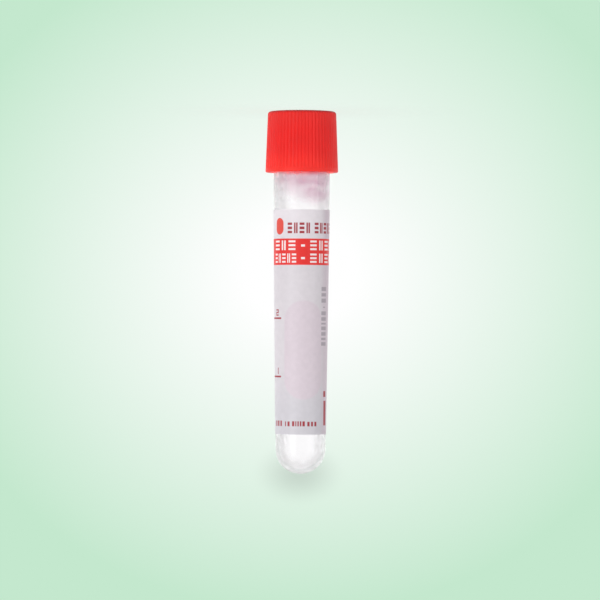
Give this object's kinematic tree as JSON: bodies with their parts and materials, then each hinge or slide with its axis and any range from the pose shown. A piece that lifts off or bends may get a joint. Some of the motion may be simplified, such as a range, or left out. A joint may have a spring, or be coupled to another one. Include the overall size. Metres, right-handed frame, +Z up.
{
  "type": "blood collection tube",
  "caption": "Round-ended tapered plastic tube for a blood sample, closed by a fluted push-in cap and wrapped in a printed label, standing on its cap.",
  "frame": {"origin": "point on the floor under the middle of the cap's flat top, on which the tube stands", "axes": "+Z up the tube's axis, from the cap's flat top to the round end; -Y the way the middle of the printed side faces; +X to the left of the print as it is read with the cap up"},
  "size_m": [0.0154, 0.0154, 0.0767],
  "materials": {
    "clear_plastic": "milky clear moulded polypropylene, smooth",
    "red_plastic": "red moulded polyethylene, satin",
    "label_film": "pale grey self-adhesive film with red print"
  },
  "bodies": {
    "closure": {"cap": "red_plastic"},
    "labelled_tube": {"tube": "clear_plastic", "label": "label_film"}
  },
  "joints": [
    {"name": "tube_pull", "type": "slide", "parent": "closure", "child": "labelled_tube", "axis": [0, 0, 1], "range_m": [0, 0.03]}
  ]
}
